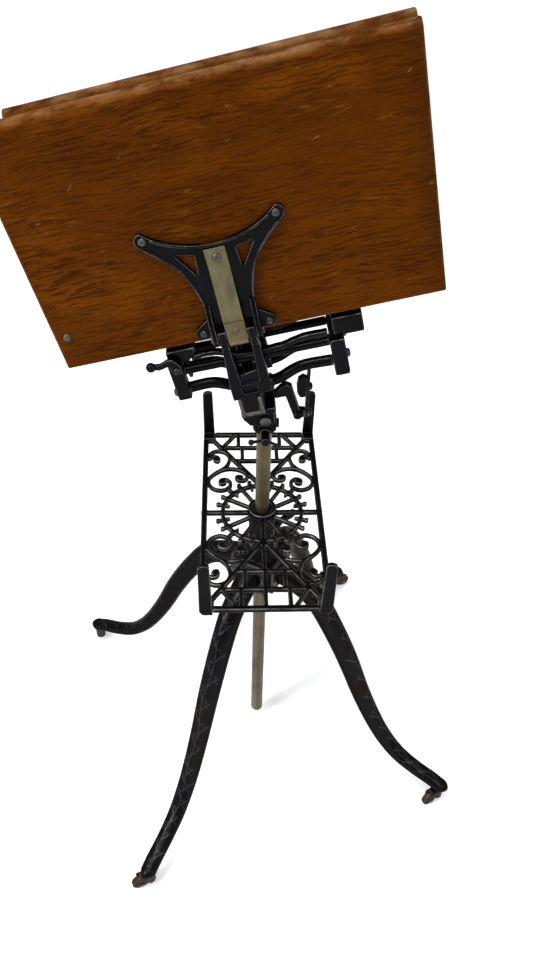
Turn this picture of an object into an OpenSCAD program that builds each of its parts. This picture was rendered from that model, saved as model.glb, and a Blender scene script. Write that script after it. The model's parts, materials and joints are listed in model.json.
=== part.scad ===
// Adjustable reading stand: two hinged book boards on a tilting cast-iron head,
// a sliding steel post, an openwork book shelf and a four-legged base on casters.
// World frame: +Z up, +X to the right along the boards, +Y to the back.
// The origin is on the floor, on the axis of the post.

/* [Base] */
// Distance of each caster's swivel pin from the post's axis
caster_reach = 308; // [290:1:330]
// Turn of the legs about the post, relative to the boards
leg_yaw = 15; // [0:1:20]
// Diameter of the caster wheels
wheel_d = 24; // [20:1:25]
// Diameter of the sliding post
post_d = 18; // [16:0.5:18]
// Height of the post's lower end above the floor
post_foot_z = 16; // [8:1:40]

/* [Shelf] */
// Width of the book shelf, across the stand
shelf_w = 153; // [150:1:170]
// Length of the book shelf, front to back
shelf_l = 318; // [310:1:330]
// Height of the underside of the shelf grille
shelf_z = 452.5; // [450:0.5:454]
// Height of the corner lips above the floor
lip_top_z = 530; // [510:1:540]

/* [Head] */
// Height of the tilt pivot with the post down
pivot_z = 618.5; // [616:0.5:630]
// Tilt of the boards, right end up
tilt = 13.8; // [0:0.1:30]
// Outside width of the slide channel
channel_w = 26; // [26:0.5:28]
// Distance of each board hinge pin from the middle plane
pin_y = 32; // [32:0.25:34]

/* [Boards] */
// Width of the front board, along the hinge line
board_w = 400; // [380:1:420]
// Height of both boards
board_h = 254; // [240:1:270]
// Thickness of the boards
board_t = 15.5; // [14:0.5:15.5]
// How much shorter the rear board is, at its lower end
rear_short = 31; // [30:1:40]

/* [Hidden] */
$fn = 48;

iron = [0.07, 0.07, 0.075];
nickel = [0.55, 0.53, 0.45];
steel = [0.42, 0.41, 0.38];
oak = [0.42, 0.2, 0.05];

// Fits
run = 0.05;     // radial clearance of a pin that turns in its bore
gap = 0.3;      // space between pieces that move past each other

// Base
leg_angles = [225 + leg_yaw, 315 + leg_yaw, 135 + leg_yaw, 45 + leg_yaw];
trail_angles = [200, 208, 100, 20];     // where each caster wheel trails
hub_flat = 26;          // post axis to the flat that a leg is screwed to
hub_z = [318, 337, 387, 402, 448];      // foot, square block, neck, shoulder
hub_tube_r = 17;
spigot_r = 12.5;
spigot_top = 463;
height_screw_a = 39;
height_screw_z = 420;
height_screw_r = 4;
leg_flange = [6, 51, 48];
leg_screw_y = 20.5;
leg_screw_r = 2.5;
toe_z = 37;
toe_end = 13;           // toe beyond the swivel pin
caster_trail = 14;
wheel_r = wheel_d / 2;
wheel_w = 8;
axle_r = 2;
stem_r = 3.5;
crown_z = wheel_d + 1.2;
crown_t = 1.8;

// Leg centreline [reach, height] and section [width, depth] at each station
leg_line = [[26, 362], [55, 354], [84, 335], [112, 292], [140, 238], [165, 180],
            [188, 134], [210, 99], [236, 71], [266, 54], [294, 44], [caster_reach, toe_z]];
leg_section = [[33, 34], [31, 31], [30, 30], [29, 29], [28, 28], [26, 26],
               [25, 24], [24, 22], [23, 20], [22, 18], [22, 17], [22, 17]];

// Shelf
shelf_t = 5;
rail_w = 6.5;
bar_w = 4.4;
ring_r = 50;
boss_r = 17.5;
lip_t = 5;
lip_w = [15.5, 13];     // at the foot and at the top
lip_foot = 13;
sx = shelf_w / 2;
sy = shelf_l / 2;

// Head, in the world frame
socket_r = 13.7;
socket_z = 593;
post_top = 607;
cheek_y = [7.5, 13.5];
cheek_r = 13;
flange_y = [14, 19];    // knuckle flanges outside the cheeks
tongue_r = 8.5;
tilt_pin_r = 3.5;
clamp_z = 601;
clamp_r = 3.5;

// Head, in the tilted frame: x along the hinge line, z up, origin at the tilt pivot
hinge_x = -1.5;         // middle of the two brackets
hinge_z = 126;
board_z = 120;          // lower edge of the boards
channel_x = -8;
channel_z = [24, 47];
channel_wall = 4.3;
channel_half_l = 37;
frame_y = 20;           // middle planes of the two cradle frames
frame_x = [-69, 88];
bow_d = 12.4;
upper_bar_z = 89;
upper_bar_d = 9.8;
rest_z = [101, 92];     // undersides of the left and right spine rests
rest_top = 115.5;
rest_half_y = 23;
rest_round = [-64, 13]; // where the left rest's rounded end starts, and its radius
pin_r = 2.5;
ear_x = 15.3;           // middle of each yoke ear from hinge_x
ear_w = 8.2;
lug_x = 23;             // middle of each bracket lug from hinge_x
lug_w = 5.5;
yoke_y = [pin_y + 4, pin_y - 3.6];

// Boards, in the tilted frame
board_gap = 11;
board_x = 13;           // middle of the front board
board_in = board_gap / 2;
board_out = board_in + board_t;
bracket_t = 5;
screw_r = 2.2;
arm_screw = [64.5, 122.5];
lobe_screw = [34, 11];
strap_screw_z = 92;
ledge_w = 28;
ledge_t = 20;
ledge_screw_z = [37, 212];
ledge_screw_x = board_x - board_w / 2 + 13;

// ---- helpers ----------------------------------------------------------------

// A point on the smooth curve through a list of points
function spline(p, i, t) =
    let (a = p[max(i - 1, 0)], b = p[i], c = p[i + 1], d = p[min(i + 2, len(p) - 1)])
    0.5 * (2 * b + t * (c - a) + t * t * (2 * a - 5 * b + 4 * c - d)
        + t * t * t * (3 * b - a - 3 * c + d));

// The whole curve, with a number of steps between each pair of points
function curve(p, steps) = [
    for (i = [0 : len(p) - 2]) for (s = [0 : steps - 1]) spline(p, i, s / steps),
    p[len(p) - 1]
];

// Unit direction of a plane curve at one of its points
function along(p, i) =
    let (d = p[min(i + 1, len(p) - 1)] - p[max(i - 1, 0)]) d / norm(d);

// A band of one width that follows a plane curve
module band(p, w) {
    left = [for (i = [0 : len(p) - 1]) p[i] + w / 2 * [-along(p, i)[1], along(p, i)[0]]];
    right = [for (i = [len(p) - 1 : -1 : 0]) p[i] - w / 2 * [-along(p, i)[1], along(p, i)[0]]];
    polygon(concat(left, right));
}

// A straight bar with round ends, drawn flat
module bar(p, q, w) {
    d = q - p;
    translate(p) rotate(atan2(d[1], d[0])) translate([0, -w / 2]) square([norm(d), w]);
    translate(p) circle(d = w);
    translate(q) circle(d = w);
}

// A bar swept along a curve in the XZ plane; section is [width along Y, depth] per point
module sweep_xz(line, section, sides) {
    n = len(line);
    points = [for (i = [0 : n - 1]) for (k = [0 : sides - 1])
        let (t = along(line, i), a = 360 * k / sides,
             out = section[i][1] / 2 * cos(a), side = section[i][0] / 2 * sin(a))
        [line[i][0] - t[1] * out, side, line[i][1] + t[0] * out]];
    sides_faces = [for (i = [0 : n - 2]) for (k = [0 : sides - 1])
        let (j = (k + 1) % sides)
        [i * sides + k, i * sides + j, (i + 1) * sides + j, (i + 1) * sides + k]];
    first = [for (k = [sides - 1 : -1 : 0]) k];
    last = [for (k = [0 : sides - 1]) (n - 1) * sides + k];
    polyhedron(points, concat(sides_faces, [first, last]), convexity = 6);
}

// Drawn flat in X and Z, then given a thickness from y0 to y1
module plate_xz(y0, y1) {
    translate([0, y1, 0]) rotate([90, 0, 0]) linear_extrude(y1 - y0) children();
}

// Drawn flat in Y and Z, then given a thickness from x0 to x1
module plate_yz(x0, x1) {
    translate([x0, 0, 0]) rotate([90, 0, 90]) linear_extrude(x1 - x0) children();
}

module box(low, high) {
    translate(low) cube(high - low);
}

module rod_x(x0, x1, r, y, z) {
    translate([x0, y, z]) rotate([0, 90, 0]) cylinder(h = x1 - x0, r = r);
}

module rod_y(y0, y1, r, x, z) {
    translate([x, y0, z]) rotate([-90, 0, 0]) cylinder(h = y1 - y0, r = r);
}

// A pan screw head with a slot, its flat face on z = 0
module slotted_head(r, h) {
    difference() {
        domed(r, h);
        translate([-r - 1, -0.5, h * 0.6]) cube([2 * r + 2, 1, h]);
    }
}

module domed(r, h) {
    rotate_extrude() polygon([[0, 0], [r, 0], [r, h * 0.35], [r * 0.72, h * 0.85],
                              [r * 0.4, h], [0, h]]);
}

// A small ball turned in steps
module knob(r) {
    rotate_extrude() polygon([[0, -r], [0.42 * r, -0.91 * r], [0.77 * r, -0.64 * r],
                              [0.98 * r, -0.2 * r], [0.98 * r, 0.2 * r], [0.77 * r, 0.64 * r],
                              [0.42 * r, 0.91 * r], [0, r]]);
}

// A slotted screw whose head stands at y = -face and whose shank runs to +Y
module screw_y(x, z, face, r, length, head_r, turn) {
    translate([x, -face, z]) rotate([90, 0, 0]) rotate(turn) {
        slotted_head(head_r, 2.4);
        translate([0, 0, -length]) cylinder(h = length, r = r);
    }
}

module tilted() {
    translate([0, 0, pivot_z]) rotate([0, -tilt, 0]) children();
}

module at_leg(i) {
    rotate(leg_angles[i]) children();
}

module at_caster(i) {
    at_leg(i) translate([caster_reach, 0, 0])
        rotate(trail_angles[i] - leg_angles[i]) children();
}

// ---- base -------------------------------------------------------------------

module hub() {
    color(iron) difference() {
        union() {
            translate([0, 0, hub_z[0]])
                cylinder(h = hub_z[1] - hub_z[0] + 1, r1 = 19, r2 = hub_flat - 1);
            rotate(45 + leg_yaw) box([-hub_flat, -hub_flat, hub_z[1]], [hub_flat, hub_flat, hub_z[2]]);
            translate([0, 0, hub_z[2]])
                cylinder(h = hub_z[3] - hub_z[2], r1 = hub_flat - 1, r2 = hub_tube_r);
            translate([0, 0, hub_z[3]]) cylinder(h = hub_z[4] - hub_z[3], r = hub_tube_r);
            cylinder_between(hub_z[4], spigot_top, spigot_r);
            rotate(height_screw_a) rod_x(10, 27, 8, 0, height_screw_z);
        }
        cylinder_between(hub_z[0] - 1, spigot_top + 1, post_d / 2 + run);
        rotate(height_screw_a) rod_x(5, 28, height_screw_r + run, 0, height_screw_z);
        for (i = [0 : 3], s = [-1, 1])
            at_leg(i) rod_x(hub_flat - 9, hub_flat + 1, leg_screw_r + run, s * leg_screw_y,
                            leg_screw_z(i));
    }
}

module cylinder_between(z0, z1, r) {
    translate([0, 0, z0]) cylinder(h = z1 - z0, r = r);
}

flange_z = (hub_z[1] + hub_z[2]) / 2;

// Neighbouring legs' screws pass one above the other inside the block
function leg_screw_z(i) = flange_z + (i % 3 == 0 ? 3.3 : -3.3);

// The leg runs along +X from the hub's flat to the toe
module leg(i) {
    steps = 3;
    line = curve(leg_line, steps);
    section = curve(leg_section, steps);
    toe = [for (a = [15 : 15 : 75]) [caster_reach + toe_end * sin(a), toe_z - 4 * (1 - cos(a))]];
    toe_section = [for (a = [15 : 15 : 75]) leg_section[len(leg_section) - 1] * cos(a)];
    color(iron) at_leg(i) difference() {
        union() {
            sweep_xz(concat(line, toe), concat(section, toe_section), 16);
            box([hub_flat, -leg_flange[1] / 2, flange_z - leg_flange[2] / 2],
                [hub_flat + leg_flange[0], leg_flange[1] / 2, flange_z + leg_flange[2] / 2]);
            translate([caster_reach, 0, crown_z + crown_t + gap])
                cylinder(h = toe_z - crown_z - crown_t - gap, r = 7.5);
        }
        translate([caster_reach, 0, crown_z - 1]) cylinder(h = 16, r = stem_r + run);
        for (s = [-1, 1])
            rod_x(hub_flat - 1, hub_flat + 20, leg_screw_r + run, s * leg_screw_y,
                  leg_screw_z(i));
        box([-1, -40, 300], [hub_flat, 40, 420]);
    }
}

module leg_screws() {
    for (i = [0 : 3], s = [-1, 1])
        color(steel) at_leg(i)
            translate([hub_flat + leg_flange[0], s * leg_screw_y, leg_screw_z(i)])
                rotate([0, 90, 0]) {
                    rotate(35 * i) slotted_head(4.6, 2.6);
                    translate([0, 0, -13]) cylinder(h = 13, r = leg_screw_r);
                }
}

// Thumbscrew with an oval head that locks the post
module height_screw() {
    color(iron) rotate(height_screw_a) {
        rod_x(post_d / 2 + 0.4, 43, height_screw_r, 0, height_screw_z);
        rod_x(27.4, 31, 6.5, 0, height_screw_z);
        translate([50, 0, height_screw_z]) rotate([90, 0, 0])
            translate([0, 0, -2.4]) linear_extrude(4.8) union() {
                translate([-3.5, 0]) circle(r = 6.2);
                translate([3.5, 0]) circle(r = 6.2);
                translate([-3.5, -6.2]) square([7, 12.4]);
            }
    }
}

// ---- casters: +X is the direction in which the wheel trails ------------------

module caster_fork(i) {
    cheek = wheel_w / 2 + gap + 0.2;
    color(steel) at_caster(i) difference() {
        union() {
            cylinder_between(crown_z, crown_z + crown_t, 7);
            cylinder_between(crown_z + crown_t, crown_z + 13, stem_r);
            box([0, -cheek - 1.8, crown_z], [caster_trail, cheek + 1.8, crown_z + crown_t]);
            for (s = [-1, 1])
                plate_xz(s * (cheek + 0.9) - 0.9, s * (cheek + 0.9) + 0.9) union() {
                    translate([caster_trail, wheel_r]) circle(r = 4.6);
                    polygon([[caster_trail - 4.6, wheel_r], [caster_trail + 4.6, wheel_r],
                             [caster_trail + 4, crown_z + crown_t], [0, crown_z + crown_t],
                             [0, crown_z]]);
                }
        }
        rod_y(-cheek - 3, cheek + 3, axle_r + run, caster_trail, wheel_r);
    }
}

module caster_wheel(i) {
    color(iron) at_caster(i) translate([caster_trail, 0, wheel_r]) rotate([90, 0, 0])
        rotate_extrude() polygon([
            [axle_r + run, -wheel_w / 2], [5, -wheel_w / 2], [6, -wheel_w / 2 + 1.2],
            [wheel_r - 3, -wheel_w / 2 + 1.2], [wheel_r - 2, -wheel_w / 2], [wheel_r - 1, -wheel_w / 2],
            [wheel_r, -wheel_w / 2 + 1.4], [wheel_r, wheel_w / 2 - 1.4], [wheel_r - 1, wheel_w / 2],
            [wheel_r - 2, wheel_w / 2], [wheel_r - 3, wheel_w / 2 - 1.2], [6, wheel_w / 2 - 1.2],
            [5, wheel_w / 2], [axle_r + run, wheel_w / 2]]);
}

module caster_axle(i) {
    reach = wheel_w / 2 + gap + 2;
    color(steel) at_caster(i) {
        rod_y(-reach - 0.1, reach + 0.1, axle_r, caster_trail, wheel_r);
        for (s = [-1, 1])
            rod_y(s * (reach + 0.6) - 0.6, s * (reach + 0.6) + 0.6, 3.2, caster_trail, wheel_r);
    }
}

// ---- shelf ------------------------------------------------------------------

// Scrolls of one quarter of the shelf, as curves through chosen points
scroll_s = [[61, 100], [56.5, 98.5], [55, 103], [58, 108], [64, 108.5], [68.5, 103],
            [68, 112], [63, 118.5], [55.5, 120.5], [46.5, 117], [41.5, 109], [41.5, 99],
            [45, 89], [52, 81], [61, 73.5], [67.5, 65], [68.5, 55], [64, 46], [55, 41.5],
            [46, 43], [40, 50], [41, 58], [47, 62.5], [53, 60], [53, 54.5], [49, 54]];
scroll_b = [[59, 76], [50, 81.5], [40, 83.5], [29, 81.5], [20.5, 75.5], [17.5, 67.5],
            [21.5, 60.5], [29, 60.5], [32, 66], [28, 69]];

module quarter_pattern() {
    diagonal = [[0, ring_r], [sx - rail_w, sy - rail_w + 1]];
    bar([-50, 127.5], [50, 127.5], bar_w);
    bar([-33, 100], [33, 100], bar_w);
    bar(diagonal[0], diagonal[1], bar_w + 0.6);
    bar([28.5, 127.5], [28.5, sy - 3], bar_w);
    bar([23.5, 100], [23.5, 127.5], bar_w);
    bar([50, 129], [33, sy - 4], bar_w - 0.6);
    band(curve([for (i = [5 : len(scroll_s) - 1]) scroll_s[i]], 4), 3.9);
    band(curve([for (i = [0 : 5]) scroll_s[i]], 3), 3.4);
    band(curve(scroll_b, 4), 3.9);
    translate([59.5, 102.5]) circle(r = 3.6);
    translate([49, 56.5]) circle(r = 3.8);
    translate([26.5, 66]) circle(r = 3.8);
}

module shelf_pattern() {
    for (s = [-1, 1]) {
        translate([s * (sx - rail_w / 2) - rail_w / 2, -sy]) square([rail_w, shelf_l]);
        translate([-sx, s * (sy - 3) - 3]) square([shelf_w, 6]);
        bar([0, s * 12], [0, s * (sy - 3)], bar_w);
        bar([s * 12, 0], [s * (sx - 2), 0], bar_w + 0.6);
        for (t = [-1, 1])
            translate([s * (sx - 8.2) - 8.2, t * (sy - 12.5) - 6.5]) square([16.4, 13]);
    }
    for (mx = [0, 1], my = [0, 1])
        mirror([mx, 0]) mirror([0, my]) quarter_pattern();
    difference() {
        circle(r = ring_r + bar_w / 2, $fn = 96);
        circle(r = ring_r - bar_w / 2, $fn = 96);
    }
    for (a = [0 : 30 : 330]) {
        rotate(a) bar([12, 0], [ring_r + 7, 0], bar_w - 0.6);
        rotate(a + 15) bar([ring_r - 6, 0], [ring_r + 7, 0], 3.4);
        rotate(a) translate([ring_r + 7.5, 0]) circle(r = 2.6);
        rotate(a + 15) translate([ring_r + 7.5, 0]) circle(r = 2.6);
    }
}

module book_shelf() {
    color(iron) difference() {
        union() {
            translate([0, 0, shelf_z]) linear_extrude(shelf_t) shelf_pattern();
            cylinder_between(hub_z[4] + gap, shelf_z + shelf_t + 7, boss_r);
        }
        cylinder_between(hub_z[4] - 1, shelf_z + shelf_t + 8, spigot_r + run);
        rotate(75) rod_x(10, 20, 2.5 + run, 0, shelf_z + shelf_t + 3.8);
        for (s = [-1, 1], t = [-1, 1])
            box([s * sx - (s > 0 ? lip_w[0] + gap : 1), t * sy - (t > 0 ? lip_t : 1), shelf_z - 1],
                [s * sx + (s > 0 ? 1 : lip_w[0] + gap), t * sy + (t > 0 ? 1 : lip_t),
                 shelf_z + shelf_t + 1]);
    }
}

// Upright lip at a corner, with a foot on the shelf's corner pad
module shelf_lip(s, t) {
    z0 = shelf_z - 5;
    color(iron) mirror([s < 0 ? 1 : 0, 0, 0]) mirror([0, t < 0 ? 1 : 0, 0]) {
        plate_xz(sy - lip_t, sy) union() {
            polygon([[sx - lip_w[0], z0], [sx - 4, z0], [sx, z0 + 6], [sx, lip_top_z - 6],
                     [sx - 6, lip_top_z], [sx - lip_w[1] + 4, lip_top_z],
                     [sx - lip_w[1], lip_top_z - 4]]);
            translate([sx - 6, lip_top_z - 6]) circle(r = 6);
            translate([sx - lip_w[1] + 4, lip_top_z - 4]) circle(r = 4);
        }
        box([sx - lip_w[0], sy - lip_t - lip_foot, shelf_z + shelf_t],
            [sx, sy - lip_t, shelf_z + shelf_t + 3]);
    }
}

module shelf_set_screw() {
    color(steel) rotate(75) translate([boss_r + 1, 0, shelf_z + shelf_t + 3.8])
        rotate([0, 90, 0]) {
            slotted_head(3.6, 2.2);
            translate([0, 0, spigot_r + gap - boss_r - 1])
                cylinder(h = boss_r + 1 - spigot_r - gap, r = 2.5);
        }
}

// ---- post and head ----------------------------------------------------------

module post() {
    color(steel) {
        cylinder_between(post_foot_z + 2, post_top, post_d / 2);
        translate([0, 0, post_foot_z]) cylinder(h = 2, r1 = post_d / 2 - 2.2, r2 = post_d / 2);
    }
}

module head_socket() {
    shoulder = pivot_z - tongue_r - 1.3;
    color(iron) difference() {
        union() {
            cylinder_between(socket_z, shoulder, socket_r);
            rod_y(-20, -8, 5.8, 0, clamp_z);
            rod_x(8, 16.8, 5.5, 0, clamp_z);
            for (s = [-1, 1])
                plate_xz(s > 0 ? cheek_y[0] : -cheek_y[1], s > 0 ? cheek_y[1] : -cheek_y[0])
                    union() {
                        translate([0, pivot_z]) circle(r = cheek_r);
                        translate([-cheek_r, socket_z + 6])
                            square([2 * cheek_r, pivot_z - socket_z - 6]);
                    }
        }
        cylinder_between(socket_z - 1, post_top + 0.3, post_d / 2 + run);
        rod_y(-25, -4, clamp_r + run, 0, clamp_z);
        rod_y(-20, 20, tilt_pin_r, 0, pivot_z);
        box([-30, -cheek_y[0], shoulder], [30, cheek_y[0], pivot_z + 30]);
    }
}

module tilt_pin() {
    end = flange_y[1] + gap;
    color(steel) {
        rod_y(-end, end, tilt_pin_r, 0, pivot_z);
        rod_y(-end - 3, -end, 6.4, 0, pivot_z);
        translate([0, end + 4.4, pivot_z]) rotate([90, 0, 0]) cylinder(h = 4.4, r = 7, $fn = 6);
    }
}

// Clamp screw with a drooping, ball-ended cross bar, on the front of the socket
module clamp_handle() {
    arm = 16.5;
    color(iron) {
        rod_y(-36, -post_d / 2 - 0.4, clamp_r, 0, clamp_z);
        rod_y(-37, -20.3, 5.2, 0, clamp_z);
        translate([0, -32, clamp_z]) {
            rotate([0, -11, 0]) rod_x(-arm, 0, 1.9, 0, 0);
            rotate([0, 31, 0]) rod_x(0, arm, 1.9, 0, 0);
            rotate([0, -11, 0]) translate([-arm, 0, 0]) rotate([0, 90, 0]) knob(3.6);
            rotate([0, 31, 0]) translate([arm, 0, 0]) rotate([0, 90, 0]) knob(3.6);
        }
    }
}

// ---- tilting cradle, in the tilted frame -------------------------------------

module tilt_knuckle() {
    color(iron) tilted() difference() {
        union() {
            plate_xz(-cheek_y[0] + gap, cheek_y[0] - gap) union() {
                circle(r = tongue_r);
                polygon([[-tongue_r, 0], [tongue_r, 0], [14, 17], [-20, 17], [-16, 9]]);
            }
            for (s = [-1, 1])
                plate_xz(s > 0 ? flange_y[0] : -flange_y[1], s > 0 ? flange_y[1] : -flange_y[0])
                    union() {
                        circle(r = 10.8);
                        polygon([[-23, 17], [-24, 7], [-18, -3.5], [-10, -4], [10.8, 0],
                                 [14, 17]]);
                    }
            box([channel_x - 15, -30, 17], [channel_x + 24, 30, channel_z[0]]);
        }
        rod_y(-20, 20, tilt_pin_r + run, 0, 0);
    }
}

module slide_channel() {
    half = channel_w / 2;
    color(nickel) tilted() difference() {
        box([channel_x - half, -channel_half_l, channel_z[0]],
            [channel_x + half, channel_half_l, channel_z[1]]);
        box([channel_x - half + channel_wall, -50, channel_z[0] + channel_wall],
            [channel_x + half - channel_wall, 50, 60]);
    }
}

bow_line = [[frame_x[0], 66], [-52, 67], [-40, 65.5], [-28, 60], [-16, 55], [0, 53.5], [16, 53.5],
            [30, 56], [42, 61.5], [54, 65], [68, 65.5], [frame_x[1], 64.5]];
arch_line = [[-57, 103], [-44, 105], [-28, 103.5], [-14, 97], [2, 94.5], [22, 94.5], [40, 95.5],
             [52, 98.5], [66, 101], [frame_x[1], 100.5]];

module cradle_frame() {
    steps = 3;
    bow = curve(bow_line, steps);
    translate([0, -frame_y, 0]) difference() {
        union() {
            sweep_xz(bow, [for (i = [0 : len(bow) - 1]) [bow_d, bow_d]], 16);
            plate_xz(-4, 4) band(curve(arch_line, steps), 5);
            box([-24, -7, channel_z[1]], [20, 7, 60]);
            for (x = [-11, 8])
                plate_xz(-3.5, 3.5)
                    polygon([[x - 4, 55], [x + 4, 55], [x + 3, 96], [x - 3, 96]]);
        }
        box([frame_x[0] - 20, -12, 40], [frame_x[0], 12, 120]);
        box([frame_x[1], -12, 40], [frame_x[1] + 20, 12, 120]);
        plate_xz(-12, 12) translate([rest_round[0], rest_z[0] + rest_round[1]])
            circle(r = rest_round[1] + 0.1);
    }
}

module cradle_frame_front() {
    color(iron) tilted() difference() {
        cradle_frame();
        rod_x(frame_x[0] - 1, frame_x[1] + 1, upper_bar_d / 2 + run, -frame_y, upper_bar_z);
    }
}

module cradle_frame_rear() {
    color(iron) tilted() mirror([0, 1, 0]) difference() {
        cradle_frame();
        rod_x(frame_x[0] - 1, frame_x[1] + 1, upper_bar_d / 2 + run, -frame_y, upper_bar_z);
    }
}

module upper_bars() {
    color(iron) tilted() for (s = [-1, 1])
        rod_x(frame_x[0], frame_x[1], upper_bar_d / 2, s * frame_y, upper_bar_z);
}

bolt_z = [63, 70];      // end bolts, left and right
bolt_r = 3;
latch_at = [-74, 97];

module end_plate_left() {
    color(iron) tilted() difference() {
        union() {
            for (s = [-1, 1])
                plate_xz(s > 0 ? 22.8 : -27, s > 0 ? 27 : -22.8)
                    polygon([[-84, 55], [-69, 55], [-69, 90], [-72, 101], [-84, 101]]);
            box([-84, -27, 55], [-79, 27, 101]);
            for (s = [-1, 1])
                box([-74, s * frame_y - 7, 55], [frame_x[0], s * frame_y + 7, 98]);
            box([-84, -27, 97], [-72, 27, 101]);
        }
        for (s = [-1, 1])
            rod_x(-90, -60, bolt_r + run, s * frame_y, bolt_z[0]);
        rod_y(-30, -22.8, pin_r, latch_at[0], latch_at[1]);
    }
}

module end_plate_right() {
    color(iron) tilted() difference() {
        union() {
            for (s = [-1, 1]) {
                box([frame_x[1], s * frame_y - 7.5, 47], [104, s * frame_y + 7.5, rest_z[1]]);
            }
            box([96, -frame_y, 72], [104, frame_y, rest_z[1]]);
        }
        for (s = [-1, 1])
            rod_x(80, 110, bolt_r + run, s * frame_y, bolt_z[1]);
    }
}

module spine_rest_left() {
    color(iron) tilted() plate_xz(-rest_half_y, rest_half_y) union() {
        translate([rest_round[0], rest_z[0] + rest_round[1]]) intersection() {
            circle(r = rest_round[1]);
            translate([0, -rest_round[1]]) square([rest_round[1], rest_top - rest_z[0]]);
        }
        translate([-82, rest_z[0]]) square([rest_round[0] + 82, rest_top - rest_z[0]]);
    }
}

module spine_rest_right() {
    color(iron) tilted() difference() {
        box([94, -rest_half_y, rest_z[1]], [126, rest_half_y, rest_top]);
        for (s = [-1, 1])
            translate([0, s * rest_half_y, rest_z[1]]) rotate([45, 0, 0])
                box([90, -3, -3], [130, 3, 3]);
    }
}

module end_bolts() {
    color(steel) tilted() for (s = [-1, 1]) {
        rod_x(-84, frame_x[0], bolt_r, s * frame_y, bolt_z[0]);
        translate([-84, s * frame_y, bolt_z[0]]) rotate([0, -90, 0]) slotted_head(4.9, 3.6);
        rod_x(frame_x[1], 104, bolt_r, s * frame_y, bolt_z[1]);
        translate([104, s * frame_y, bolt_z[1]]) rotate([0, 90, 0]) slotted_head(4.9, 3.6);
    }
}

catch_at = [42.4, -12]; // catch pin, in X and Z of the tilted frame
catch_pin_r = 3;

// Level frame at the catch pin, whose axis is +X
module at_catch() {
    tilted() translate([catch_at[0], 0, catch_at[1]]) rotate([0, tilt, 0]) children();
}

module catch_arm() {
    color(iron) difference() {
        union() {
            tilted() plate_xz(-4.5, 4.5) union() {
                polygon([[16, 17], [27.5, 17], [30.5, -14], [40, -13], [37, 28], [31, 33],
                         [24, 30], [16, 24]]);
                translate([35.3, -14]) circle(r = 5);
            }
            at_catch() rod_x(-10, 1.2, 6.4, 0, 0);
        }
        at_catch() rod_x(-6, 2, catch_pin_r, 0, 0);
    }
}

module catch_pin() {
    color(steel) at_catch() {
        rod_x(-6, 5.4, catch_pin_r, 0, 0);
        translate([5.4, 0, 0]) rotate([0, 90, 0]) slotted_head(5.2, 4.4);
    }
}

link_x = [1.5, 5.1];    // faces of the catch link, from the catch pin

module catch_link() {
    color(iron) at_catch() difference() {
        plate_yz(link_x[0], link_x[1]) union() {
            circle(r = 6);
            translate([-5, 0]) square([10, 58]);
            translate([0, 58]) circle(r = 5);
        }
        rod_x(0, 10, catch_pin_r + run, 0, 0);
        rod_x(0, 10, 2.5, 0, 36);
    }
}

// Hooked pawl with the bolt that holds it to the link
module catch_pawl() {
    color(iron) at_catch() {
        plate_xz(-4, 4) polygon([[link_x[0], 24], [-3, 22.5], [-6, 24], [-8.5, 29], [-9.5, 38],
                                 [-8, 47], [-3, 51], [link_x[0], 49]]);
        rod_x(link_x[0], link_x[1], 2.5, 0, 36);
        translate([link_x[1], 0, 36]) rotate([0, 90, 0]) slotted_head(4.8, 3.6);
    }
}

// ---- latch lever -------------------------------------------------------------

lever_y = [31.6, 27.3];     // faces of the lever, distance to the front
lever_ball = [-100, 106.6];
lever_outline = [[-97, 109.6], [-91, 108.2], [-86, 109.8], [-81, 112], [-76, 111.4], [-71.5, 106],
                 [-69, 100], [-69.4, 94.6], [-73, 91.4], [-77.5, 92.6], [-79.8, 97.5],
                 [-80.4, 103], [-83.5, 104], [-88, 102.6], [-92, 102], [-97, 103.6]];

module latch_lever() {
    color(iron) tilted() difference() {
        union() {
            plate_xz(-lever_y[0], -lever_y[1]) polygon(lever_outline);
            translate([lever_ball[0], -(lever_y[0] + lever_y[1]) / 2, lever_ball[1]])
                rotate([90, 0, 0]) knob(5.4);
        }
        rod_y(-40, -20, pin_r + run, latch_at[0], latch_at[1]);
    }
}

module latch_pin() {
    color(steel) tilted() {
        rod_y(-lever_y[0] - gap, -22.8, pin_r, latch_at[0], latch_at[1]);
        translate([latch_at[0], -lever_y[0] - gap, latch_at[1]]) rotate([90, 0, 0])
            slotted_head(4.2, 2);
    }
}

// ---- yokes: slide in the channel and carry the boards ------------------------

module yoke() {
    half = channel_w / 2 - channel_wall - gap;
    difference() {
        union() {
            box([channel_x - half, -yoke_y[0], channel_z[0] + channel_wall + gap],
                [channel_x + half, -9, channel_z[1] - gap]);
            plate_xz(-yoke_y[0], -yoke_y[1]) union() {
                polygon([[channel_x - half, 30], [channel_x + half, 30], [channel_x + half, 50],
                         [19, 52], [19, 62], [hinge_x + ear_x + 4.5, 114], [hinge_x + ear_x - 3.6, 114],
                         [hinge_x + ear_x - 6.2, 66], [hinge_x - ear_x + 5, 66],
                         [hinge_x - ear_x + 3.6, 114], [hinge_x - ear_x - 4.1, 114],
                         [-25, 62], [-25, 48], [channel_x - half, 48]]);
            }
            plate_xz(-yoke_y[0] + 3.4, -yoke_y[1])
                polygon([[-14, 60], [8, 60], [8, 80], [-14, 76]]);
            for (s = [-1, 1])
                box([hinge_x + s * ear_x - ear_w / 2, -pin_y - 5, 113],
                    [hinge_x + s * ear_x + ear_w / 2, -pin_y + 5, hinge_z + 8]);
        }
        rod_x(hinge_x - 30, hinge_x + 30, pin_r, -pin_y, hinge_z);
        box([-12.5, -yoke_y[0] - 1, 54], [4, -yoke_y[0] + 3.4, 64]);
    }
}

module yoke_front() {
    color(iron) tilted() yoke();
}

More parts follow.
